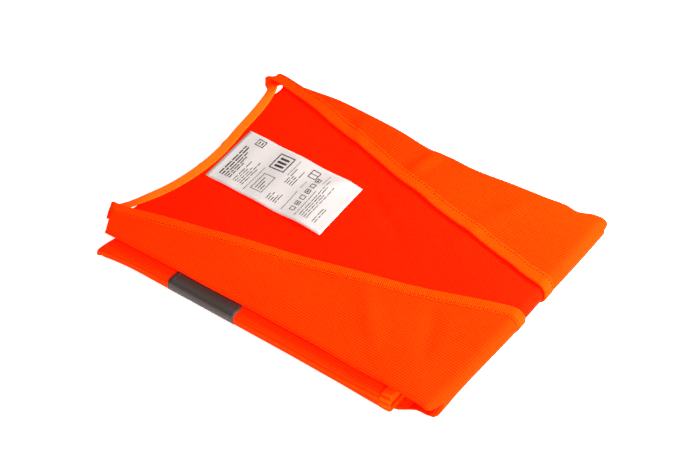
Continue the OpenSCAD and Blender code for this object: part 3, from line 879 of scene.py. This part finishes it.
def print_lines(start, stop, down, count, pitch, heavy=0.55):
    """Lines of print across the ribbon, each broken into words of uneven length."""
    for line in range(count):
        across, k = start, line * 3
        while across + (word := WORDS[k % len(WORDS)]) < stop - (line % 3) * 3.0:
            inked.append(bar(across, down + line * pitch, across + word, down + line * pitch + heavy))
            across += word + WORD_GAP
            k += 2


print("words", WORDS)

# %% [markdown]
# The label's layout: blocks of word bars, two thin rules, and plain frames. None of it can be read.

# %% The label's print
inked = []
print_lines(7.0, 41.0, 4.0, 2, 2.1, 1.0)
print_lines(7.0, 33.0, 8.4, 3, 1.8, 0.75)
print_lines(7.0, 30.0, 15.5, 5, 1.75)
inked += frame_of_bars(40.0, 8.0, 5.5, 6.5, 0.6) + [bar(41.5, 9.8, 44.0, 10.6), bar(41.5, 12.0, 44.0, 12.8)]
# Plain shapes in the middle of the label: a framed tab, a row of blocks and a bigger frame.
inked += frame_of_bars(30.0, 27.5, 13.5, 12.0, 0.8)
inked += [bar(32.5 + 3.2 * k, 30.0, 34.3 + 3.2 * k, 37.0) for k in range(3)]
inked += frame_of_bars(8.0, 29.0, 16.0, 9.0, 0.45)
inked += [bar(10.0, 31.5 + 2.0 * k, 21.0 - 3 * k, 32.1 + 2.0 * k) for k in range(3)]
inked += [bar(4.0, 26.0, 28.0, 26.35), bar(30.0, 43.0, 44.0, 43.35)]
print_lines(24.0, 41.0, 45.0, 4, 1.75)
print_lines(6.0, 19.0, 43.0, 5, 1.75)
inked += frame_of_bars(36.5, 54.0, 7.0, 6.5, 0.6) + [bar(39.8, 54.0, 40.3, 60.5)]
inked += [bar(4.0, 56.5, 33.0, 56.85), bar(4.0, 67.0, 44.0, 67.35)]
# A row of small square marks near the free end, with lines of print under it.
for k in range(6):
    inked += frame_of_bars(7.0 + 5.6 * k, 61.0, 3.6, 3.6, 0.5)
    if k % 2:
        inked.append(bar(7.9 + 5.6 * k, 62.3, 9.7 + 5.6 * k, 63.2))
print_lines(6.0, 42.0, 69.5, 4, 1.8, 0.5)
print_lines(6.0, 24.0, 79.5, 2, 1.8, 0.5)
print_ink = joined("care_label_print", inked)
print("print", len(print_ink.data.polygons), "faces")

# %% [markdown]
# Thread. Each stitch is a short spindle of thread that dips into the cloth at both ends. They lie 2.5 mm
# apart along the binding's sewn edge and both edges of the tapes. The spindles are thicker
# than real thread, which would be too fine to show.

# %% Stitches
def stitches(name, middle_line, above_line, thick=0.27, long=0.62, pitch=STITCH_PITCH, sink=0.12):
    """Spindles of thread along a line; the line above it says which way is out of the cloth."""
    along = np.concatenate([[0], np.cumsum(np.linalg.norm(np.diff(middle_line, axis=0), axis=1))])
    starts = np.arange(0.5, along[-1] - pitch, pitch)
    at = starts[:, None] + np.array([0.0, 0.25, 0.75, 1.0])[None, :] * pitch * long
    pick = lambda line: np.stack([np.interp(at, along, line[:, k]) for k in range(3)], -1)
    centre, normal = pick(middle_line), pick(above_line) - pick(middle_line)
    normal /= np.linalg.norm(normal, axis=-1, keepdims=True)
    centre = centre - normal * (sink * np.array([1, 0, 0, 1]))[None, :, None]
    forward = centre[:, -1:] - centre[:, :1]
    forward = forward / np.linalg.norm(forward, axis=-1, keepdims=True)
    sideways = np.cross(forward, normal)
    ring = np.linspace(0, 2 * math.pi, 6)[:-1]
    r = (thick * np.array([0.35, 1.0, 1.0, 0.35]))[None, :, None, None]
    rings = centre[:, :, None] + r * (np.cos(ring)[None, None, :, None] * sideways[:, :, None]
                                      + np.sin(ring)[None, None, :, None] * normal[:, :, None])
    n, k, m = rings.shape[:3]
    index = np.arange(n * k * m).reshape(n, k, m)
    faces = []
    for j in range(m):
        j1 = (j + 1) % m
        faces += np.stack([index[:, :-1, j], index[:, 1:, j], index[:, 1:, j1], index[:, :-1, j1]],
                          -1).reshape(-1, 4).tolist()
    for cap in (index[:, 0, ::-1], index[:, -1, :]):
        faces += cap.tolist()
    mesh = bpy.data.meshes.new(name)
    mesh.from_pydata((rings.reshape(-1, 3) * MM).tolist(), [], faces)
    mesh.shade_smooth()
    obj = bpy.data.objects.new(name, mesh)
    bpy.context.scene.collection.objects.link(obj)
    return obj


print("stitches every", STITCH_PITCH, "mm")

# %% [markdown]
# The long binding has one row of stitches, and each front's tape has one near either edge. They use the
# same lines as the strip and the tape under them, a little further out.

# %% Threads on the binding and the tapes
seam_at = STRIP - STITCH_INSET
TAPE_STITCH_EDGES = (3.0, -4.5)  # from the tape's upper edge, and, below zero, from its lower edge
neck_stitches = neck_points(seam_at, LEG_OUT + 0.08)[:, 0]
threads = {"neck_and_front_binding": stitches(
    "neck_and_front_binding_thread", neck_stitches, neck_points(seam_at, 2)[:, 0])}


def tape_thread(side, third, from_edge):
    name = tape_name(side, third)
    y = high(name, "y") - from_edge if from_edge > 0 else low(name, "y") - from_edge
    path, v = (hem_path, turn_y - y) if third == "hem" else (main_path, -math.pi * main_r - (y - start_y))
    lines = []
    for grow in (ON_CLOTH + TAPE / 2 + 0.06, ON_CLOTH + 2):
        x, depth, _, _ = tape_section(side, third, 0.0, grow)
        lines.append(folded(path, x[0], v + 0 * x[0], depth[0]))
    return stitches(f"{name}_thread_{'top' if from_edge > 0 else 'low'}", *lines, thick=0.14)


tape_threads = {(side, third, edge): tape_thread(side, third, edge)
                for side in (RIGHT, LEFT) for third in ("middle", "hem") for edge in TAPE_STITCH_EDGES}
print("threads", len(threads) + len(tape_threads))

# %% [markdown]
# Materials come next. Colours are written as sRGB hex values, as a colour picker shows them, and turned
# into the linear values that Blender's shaders work in. One helper adds a node, sets it and links it.

# %% Colour and node helpers
def linear(hex_colour):
    """An sRGB hex colour as the linear RGBA that a shader takes."""
    channels = [int(hex_colour[i:i + 2], 16) / 255 for i in (1, 3, 5)]
    return (*[c / 12.92 if c <= 0.04045 else ((c + 0.055) / 1.055) ** 2.4 for c in channels], 1)


def node(material, kind, settings=None, **links):
    """Adds a node. settings go to its properties or its sockets, links join a socket to another output."""
    made = material.node_tree.nodes.new("ShaderNode" + kind)
    for key, value in (settings or {}).items():
        if isinstance(key, str) and hasattr(made, key):
            setattr(made, key, value)
        else:
            made.inputs[key].default_value = value
    for key, output in links.items():
        key = int(key[1:]) if key[0] == "_" else key.replace("_", " ")
        material.node_tree.links.new(output, made.inputs[key])
    return made


def new_material(name):
    made = bpy.data.materials.new(name)
    made.use_nodes = True
    made.node_tree.nodes.clear()
    return made


def finish_material(material, settings, **links):
    shader = node(material, "BsdfPrincipled", settings, **links)
    node(material, "OutputMaterial", None, Surface=shader.outputs[0])
    return material


print("mid grey is", round(linear("#808080")[0], 3))

# %% [markdown]
# Knit, tape and satin all have fine parallel threads. They are drawn as waves along the flat coordinates.

# %% Rib waves
def ribs(material, coordinate, spacing_mm, sharpness=1.0):
    """A wave from 0 to 1 that repeats along a coordinate given in metres."""
    per_metre = 2 * math.pi / (spacing_mm * MM)
    turns = node(material, "Math", {"operation": "MULTIPLY", 1: per_metre}, _0=coordinate)
    sine = node(material, "Math", {"operation": "SINE"}, _0=turns.outputs[0])
    half = node(material, "Math", {"operation": "MULTIPLY_ADD", 1: 0.5, 2: 0.5}, _0=sine.outputs[0])
    return node(material, "Math", {"operation": "POWER", 1: sharpness}, _0=half.outputs[0]).outputs[0]


def flat_axes(material):
    """Across and along the cloth, in metres, as it was before it was folded."""
    uv = node(material, "UVMap", {"uv_map": "flat"})
    axes = node(material, "SeparateXYZ", None, Vector=uv.outputs[0])
    return axes.outputs[0], axes.outputs[1]


print("waves are in metres of cloth")

# %% [markdown]
# The vest's cloth is a warp knit of fluorescent polyester. Its dye turns blue and green daylight into
# orange-red light, so the cloth sends out more red than any paint could. The shader gives that part as a
# small, even red emission, and the lamps shade the rest. Warp knit has fine ribs along the cloth, about
# 1 mm apart. They are drawn 1.8 mm apart, which is as fine as a render of this size can show.

# %% Fluorescent warp knit
RIB_MM, COURSE_MM = 1.8, 1.2
BACKLIGHT_FADE = 22  # mm of strip over which the lighter stretch fades in


def fluorescent_cloth(name, body, groove_shade_and_mottle, glow, strength, rib_mm=RIB_MM, depth=0.1, across=False,
                      mottled=0.35, painted_backlight=None):
    """body is the ribs' hex colour and groove_shade_and_mottle the darker one, which the grooves between the
    ribs get as painted shade and random patches get as mottling; glow and strength are the red that the dye
    adds.
    """
    made = new_material(name)
    u, v = flat_axes(made)
    wale = ribs(made, v if across else u, rib_mm)
    course = ribs(made, u if across else v, COURSE_MM)
    relief = node(made, "Math", {"operation": "MULTIPLY_ADD", 1: 0.3}, _0=course, _2=wale).outputs[0]
    patchy = node(made, "TexNoise", {"Scale": 55.0, "Detail": 3.0, "Roughness": 0.6})
    # Painted shade: the mix below gives the grooves between the ribs the darker groove colour, and the noise
    # adds random mottling of that colour.
    rib_shade_and_mottle = node(made, "Math", {"operation": "MULTIPLY_ADD", 1: mottled}, _0=patchy.outputs[0],
                _2=node(made, "Math", {"operation": "MULTIPLY", 1: 1 - mottled * 0.8}, _0=wale).outputs[0])
    colour = node(made, "Mix", {"data_type": "RGBA", 6: linear(groove_shade_and_mottle), 7: linear(body)}, _0=rib_shade_and_mottle.outputs[0])
    if painted_backlight:
        # Painted light: a stretch of the strip that has no cloth under it gets a lighter orange colour, for
        # the floor's light that comes through it.
        backlight_hue, first, last = painted_backlight
        rise, fall = (
            node(made, "MapRange",
                 {"interpolation_type": "SMOOTHSTEP", 1: at * MM, 2: (at + step) * MM}, _0=v)
            for at, step in ((first, BACKLIGHT_FADE), (last, -BACKLIGHT_FADE)))
        lit = node(made, "Math", {"operation": "MULTIPLY"}, _0=rise.outputs[0], _1=fall.outputs[0])
        colour = node(made, "Mix", {"data_type": "RGBA", 7: linear(backlight_hue)},
                      _0=lit.outputs[0], _6=colour.outputs[2])
    bump = node(made, "Bump", {"Strength": 0.9, "Distance": depth * MM}, Height=relief)
    return finish_material(made, {"Roughness": 0.8, "IOR": 1.5, "Specular IOR Level": 0.02,
                                  "Sheen Weight": 0.25, "Sheen Roughness": 0.3,
                                  "Sheen Tint": linear("#FF8A00"),
                                  "Emission Color": linear(glow), "Emission Strength": strength},
                           Base_Color=colour.outputs[2], Normal=bump.outputs[0])


print("ribs", RIB_MM, "mm, courses", COURSE_MM, "mm")

# %% [markdown]
# Five finishes come from that one function. The inside of the back gets a darker, deeper red copy of the
# knit: painted shade, for the shade between the layers and the redder light that has bounced between them.
# The bindings' ribs are finer, and run across the strip.

# %% Cloths and bindings
knit = fluorescent_cloth("fluorescent_warp_knit", "#FF5000", "#FF2E00", "#FF0000", 0.8)
# Painted shade: the back's inside is the same knit with darker colours.
knit_painted_shade = fluorescent_cloth("fluorescent_warp_knit_painted_shade", "#FF2E00", "#FF1400", "#FF0000", 0.8)
BINDING_LOOK = {"body": "#FF6600", "groove_shade_and_mottle": "#FF3600", "glow": "#FF0200", "strength": 0.7,
                "rib_mm": 1.25, "depth": 0.16, "across": True, "mottled": 0.2}
binding_knit = fluorescent_cloth("fluorescent_binding_tape", **BINDING_LOOK)
# Painted light: the binding's stretch across the back neck is coloured lighter, as backlight.
neck_bounds = neck_along[neck_line[:, 1] > neck_v]
neck_knit_painted_backlight = fluorescent_cloth("fluorescent_neck_binding_tape_painted_backlight", **BINDING_LOOK,
                              painted_backlight=("#FF8E18", neck_bounds[0], neck_bounds[-1]))
felt = fluorescent_cloth("hook_and_loop_pile", "#FF5A0C", "#E63C04", "#FF1400", 0.35,
                         rib_mm=1.2, depth=0.2)
print("cloth finishes", [made.name for made in (knit, knit_painted_shade, binding_knit, neck_knit_painted_backlight, felt)])

# %% [markdown]
# The tape is woven polyester coated with glass beads. Without a lamp beside the camera it looks a dull, warm
# grey. The thread is matt polyester, and on the cloth it is coloured darker than the cloth: painted shade,
# for the shadows of the needle holes. A pale grey one is on the tape.

# %% Tape and thread
silver = new_material("retroreflective_tape")
u, v = flat_axes(silver)
weave = node(silver, "Math", {"operation": "ADD"}, _0=ribs(silver, u, 1.5), _1=ribs(silver, v, 1.5))
beads = node(silver, "TexNoise", {"Scale": 900.0, "Detail": 2.0})
silver_tone = node(silver, "Mix", {"data_type": "RGBA", 6: linear("#4A403C"), 7: linear("#6A5C56")},
                   _0=beads.outputs[0])
finish_material(silver, {"Roughness": 0.55, "Metallic": 0.25},
                Base_Color=silver_tone.outputs[2],
                Normal=node(silver, "Bump", {"Strength": 0.25, "Distance": 0.05 * MM},
                            Height=weave.outputs[0]).outputs[0])

thread_painted_shade = new_material("polyester_thread_painted_shade")
twist = node(thread_painted_shade, "TexNoise", {"Scale": 700.0, "Detail": 1.0})
# Painted shade: the thread's dark red-brown stands for the shadows of the needle holes that it sinks into.
thread_painted_shade_tone = node(thread_painted_shade, "Mix", {"data_type": "RGBA", 6: linear("#541000"), 7: linear("#8A2800")},
                   _0=twist.outputs[0])
finish_material(thread_painted_shade, {"Roughness": 0.6, "IOR": 1.5, "Specular IOR Level": 0.04,
                         "Emission Color": linear("#FF1000"), "Emission Strength": 0.1},
                Base_Color=thread_painted_shade_tone.outputs[2])

grey_thread = new_material("grey_polyester_thread")
twist = node(grey_thread, "TexNoise", {"Scale": 700.0, "Detail": 1.0})
grey_tone = node(grey_thread, "Mix", {"data_type": "RGBA", 6: linear("#8C8480"), 7: linear("#B4ACA6")},
                 _0=twist.outputs[0])
finish_material(grey_thread, {"Roughness": 0.5, "IOR": 1.5}, Base_Color=grey_tone.outputs[2])
print("tape and threads", [made.name for made in (silver, thread_painted_shade, grey_thread)])

# %% [markdown]
# The label is white satin, woven so that its warp threads lie on top, which gives a soft sheen along them.
# The ink on it is a little speckled, because the threads take it unevenly.

# %% Label and ink
satin = new_material("label_satin")
u, v = flat_axes(satin)
satin_tone = node(satin, "Mix", {"data_type": "RGBA", 6: linear("#F4E8E4"), 7: linear("#FFF8F4")},
                  _0=ribs(satin, u, 0.8))
# Painted light: a faint warm emission makes the satin glow a little of itself.
finish_material(satin, {"Roughness": 0.5, "IOR": 1.5, "Sheen Weight": 0.15, "Sheen Roughness": 0.4,
                        "Emission Color": linear("#FFE8E0"), "Emission Strength": 0.12},
                Base_Color=satin_tone.outputs[2],
                Normal=node(satin, "Bump", {"Strength": 0.12, "Distance": 0.04 * MM},
                            Height=ribs(satin, v, 0.8)).outputs[0])

ink = new_material("printing_ink")
speckle = node(ink, "TexNoise", {"Scale": 1800.0, "Detail": 1.0})
finish_material(ink, {"Roughness": 0.6, "IOR": 1.5},
                Base_Color=node(ink, "Mix", {"data_type": "RGBA", 6: linear("#3A2E30"), 7: linear("#6A5A58")},
                                _0=speckle.outputs[0]).outputs[2])
print("materials", len(bpy.data.materials))

# %% [markdown]
# A piece rides on the body it moves with. A front or a back that goes round the main fold is given no body
# and keeps its place. Each piece gets its finish as its material, and the plain nodes that it stands for are
# hidden.


def finished(obj, material, nodes, body=None):
    obj.data.materials.clear()
    obj.data.materials.append(material)
    if body:
        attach(obj, body)
    else:
        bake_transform(obj)
    if nodes:
        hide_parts(*nodes)
    return obj


# %% [markdown]
# Both sides of the vest have the same pieces, so they get their finish and body in one loop.

# %% The two sides
for side, word, obj, hem in ((RIGHT, "right", right_front, right_hem), (LEFT, "left", left_front, left_hem)):
    finished(obj, knit,
             [f"{word}_front_upper", f"{word}_front_middle", f"main_fold_{word}_front"])
    finished(hem, knit, [f"{word}_front_hem", f"hem_fold_{word}_front"], "lower_pack")
    finished(bindings[f"{word}_front_hem_binding"], binding_knit,
             [f"{word}_front_binding_hem", f"hem_fold_{word}_binding"], "lower_pack")
    finished(bindings[f"hem_binding_{word}"], binding_knit,
             [f"hem_binding_{word}_front"], "lower_pack")
    finished(bindings[f"hem_binding_back_{word}"], binding_knit,
             ["hem_binding_back"], "lower_pack")
    finished(shoulders[side], thread_painted_shade, [f"{word}_shoulder_seam"], "upper_third")
    for layer in ("front", "back"):
        finished(armholes[side, layer], binding_knit,
                 [f"{word}_armhole_binding"], "upper_third")
    for third, name in (("middle", "upper"), ("hem", "lower")):
        finished(tapes[side, third], silver, [f"{name}_tape_{word}_front"], "lower_pack")
        finished(seams[side, third], thread_painted_shade, [f"{word}_side_seam_{third}"], "lower_pack")
for obj in tape_threads.values():
    finished(obj, grey_thread, [], "lower_pack")
print("sides done")

# %% [markdown]
# The back, the long binding and the label are there once each.

# %% The pieces there is one of
finished(back, knit_painted_shade, ["back_upper", "back_middle", "main_fold_back"])
finished(back_hem, knit, ["back_hem", "hem_fold_back"], "lower_pack")
finished(bindings["neck_and_front_binding"], neck_knit_painted_backlight,
         ["back_neck_binding"] + [f"{word}_front_binding_{third}" for word in ("right", "left")
                                  for third in ("upper", "middle")]
         + ["main_fold_right_binding", "main_fold_left_binding"])
finished(threads["neck_and_front_binding"], thread_painted_shade, [])
finished(tapes["back", "middle"], silver, ["upper_tape_back"], "lower_pack")
finished(tapes["back", "hem"], silver, ["lower_tape_back"], "lower_pack")
finished(patches["hook_patch"], felt, ["hook_patch"], "lower_pack")
finished(patches["loop_patch"], felt, ["loop_patch"], "lower_pack")
finished(label, satin, ["care_label"], "care_label")
finished(print_ink, ink, [], "care_label")

# %% [markdown]


# %% [markdown]
# The fronts and the back go round the main fold. Their grids are worked out once more here, and the hem
# third's by themselves, because they ride on another set of layers, though on a real vest they are the same
# cloth. Nothing is kept from them.

for side, obj, patch in ((RIGHT, right_front, "hook_patch"), (LEFT, left_front, "loop_patch")):
    front_main(side)
back_main()
for side, obj, word in ((RIGHT, right_hem, "right"), (LEFT, left_hem, "left")):
    hem_panel(side, "front", hem_edge[side])

# %% [markdown]
# The vest lies on a pale floor, bright enough to come out white, as studio paper does under strong light.

# %% Floor
FLOOR = 3.0
bpy.ops.mesh.primitive_plane_add(size=FLOOR * 2, location=(0, 0, -0.0002))
floor = bpy.context.object
floor.name = "floor"
paper = new_material("pale_floor")
grain = node(paper, "TexNoise", {"Scale": 40.0, "Detail": 2.0})
paper_tone = node(paper, "Mix", {"data_type": "RGBA", 6: linear("#F8F8F8"), 7: linear("#FFFFFF")},
                  _0=grain.outputs[0])
finish_material(paper, {"Roughness": 0.9, "Specular IOR Level": 0.0, "Emission Color": linear("#FFFFFF"),
                        "Emission Strength": 0.85},
                Base_Color=paper_tone.outputs[2])
floor.data.materials.append(paper)
print("floor", FLOOR * 2, "m")

# %% [markdown]
# Four soft lamps light it. The key is low beyond the main fold's far end, and rakes over the ribs so that
# they show. Two more stand low by the main fold, where the rolled edges turn away from the key. The large
# one overhead and a faint white surround keep the shadows open.

# %% Lamps
def area_lamp(name, place, target, size, watts, colour="#FFFFFF"):
    lamp = bpy.data.lights.new(name, "AREA")
    lamp.shape, lamp.size, lamp.size_y = "RECTANGLE", size, size
    lamp.energy, lamp.color = watts, linear(colour)[:3]
    obj = bpy.data.objects.new(name, lamp)
    obj.location = place
    obj.rotation_euler = (Vector(target) - Vector(place)).to_track_quat("-Z", "Y").to_euler()
    bpy.context.scene.collection.objects.link(obj)
    return obj


centre = (0, 0, stack_z * MM / 2)
area_lamp("key_softbox", (0.25, -0.27, 0.22), (0.02, 0.0, 0.01), 0.14, 2.0)
area_lamp("fill_softbox", (0.2, -0.1, 0.9), centre, 0.9, 0.8)
area_lamp("side_softbox", (-0.26, -0.60, 0.30), centre, 0.3, 1.7)
area_lamp("low_softbox", (-0.45, -0.55, 0.10), centre, 0.2, 1.1)

world = bpy.data.worlds.new("surround")
bpy.context.scene.world = world
world.use_nodes = True
world.node_tree.nodes["Background"].inputs[0].default_value = (1, 1, 1, 1)
world.node_tree.nodes["Background"].inputs[1].default_value = 0.2

print("lamps", len(bpy.data.lights))

# %% [markdown]
# The camera looks down at 45 degrees from the near corner, with a long lens, so that far sides look nearly
# as long as near ones. The standard view keeps the fluorescent red at full strength.

# %% Camera
LENS_MM, SENSOR_MM = 97.7, 36.0
CAMERA_AT = (-0.6823, -0.4738, stack_z * MM + 0.826)
LOOK_ALONG = (0.5826, 0.4008, -0.7071)
camera_data = bpy.data.cameras.new("camera")
camera_data.lens, camera_data.sensor_width = LENS_MM, SENSOR_MM
camera = bpy.data.objects.new("camera", camera_data)
camera.location = CAMERA_AT
camera.rotation_euler = Vector(LOOK_ALONG).to_track_quat("-Z", "Y").to_euler()
bpy.context.scene.collection.objects.link(camera)
bpy.context.scene.camera = camera
bpy.context.scene.view_settings.view_transform = "Standard"
print("camera", CAMERA_AT)
